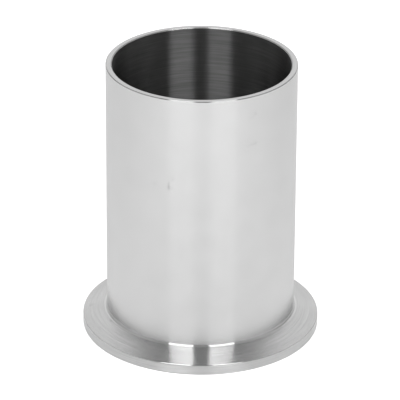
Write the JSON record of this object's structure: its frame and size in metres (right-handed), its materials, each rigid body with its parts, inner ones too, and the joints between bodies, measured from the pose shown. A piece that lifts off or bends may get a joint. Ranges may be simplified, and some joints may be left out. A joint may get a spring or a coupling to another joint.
{
  "type": "sanitary clamp ferrule",
  "caption": "Long weld-end sanitary clamp ferrule: a thin straight steel tube with a sloped clamp flange and a gasket groove in its face.",
  "frame": {"origin": "centre of the clamp face, on the plane of the proud outer land that meets the gasket", "axes": "+Z along the tube's axis, from the clamp face to the weld end; X and Y are equivalent, because the part is turned"},
  "size_m": [0.064, 0.064, 0.0762],
  "materials": {
    "stainless_steel": "fine turned, satin, with a brighter fillet and edges"
  },
  "bodies": {
    "root": {"ferrule": "stainless_steel"}
  },
  "joints": []
}
